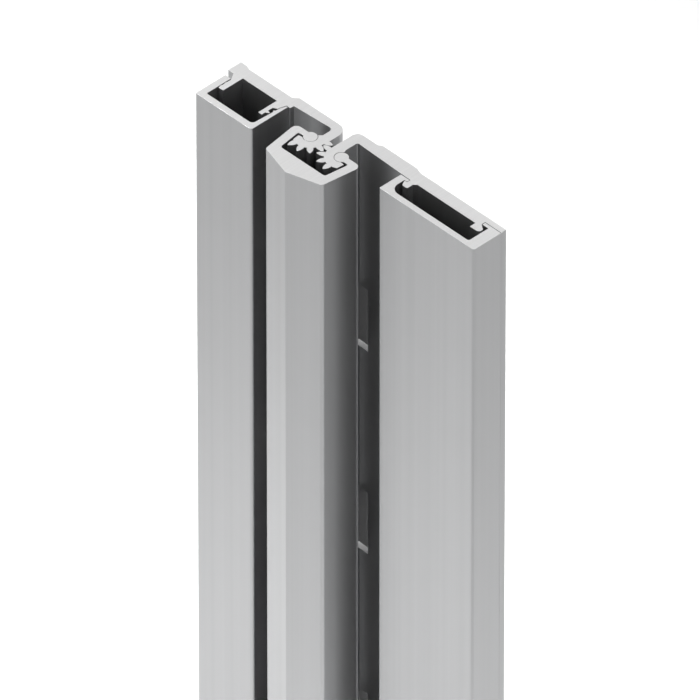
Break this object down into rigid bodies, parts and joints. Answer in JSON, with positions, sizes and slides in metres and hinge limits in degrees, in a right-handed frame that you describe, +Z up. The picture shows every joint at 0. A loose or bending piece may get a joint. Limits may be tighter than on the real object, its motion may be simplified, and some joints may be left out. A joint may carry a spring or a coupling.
{
  "type": "geared continuous hinge",
  "caption": "Full surface geared continuous hinge: a frame leaf and a door leaf with meshing gear sectors, held in mesh by a ridged cap, with clip-on covers over the screws.",
  "frame": {"origin": "half way along the frame leaf's screw line, on the back face of its plate", "axes": "+X across the hinge from the frame leaf to the door leaf, +Y from its front to the wall and door behind, +Z up along it"},
  "size_m": [0.1199, 0.0317, 0.3048],
  "materials": {
    "satin_aluminium": "clear satin anodised",
    "bearing_acetal": "moulded, matt"
  },
  "bodies": {
    "frame side": {"frame_leaf": "satin_aluminium", "frame_cover": "satin_aluminium", "frame_thrust_block_1": "bearing_acetal", "frame_thrust_block_2": "bearing_acetal", "frame_thrust_block_3": "bearing_acetal"},
    "cap": {"gear_cap": "satin_aluminium"},
    "door side": {"door_leaf": "satin_aluminium", "door_cover": "satin_aluminium", "door_thrust_block_1": "bearing_acetal", "door_thrust_block_2": "bearing_acetal", "door_thrust_block_3": "bearing_acetal"}
  },
  "joints": [
    {"name": "cap_turn", "type": "hinge", "parent": "frame side", "child": "cap", "pos_m": [0.0284, -0.0094, 0], "axis": [0, 0, -1], "range_deg": [0, 70]},
    {"name": "door_turn", "type": "hinge", "parent": "cap", "child": "door side", "pos_m": [0.0428, -0.0094, 0], "axis": [0, 0, -1], "range_deg": [0, 70]}
  ],
  "couplings": [
    {"joint": "door_turn", "follows": "cap_turn", "ratio": 1}
  ]
}
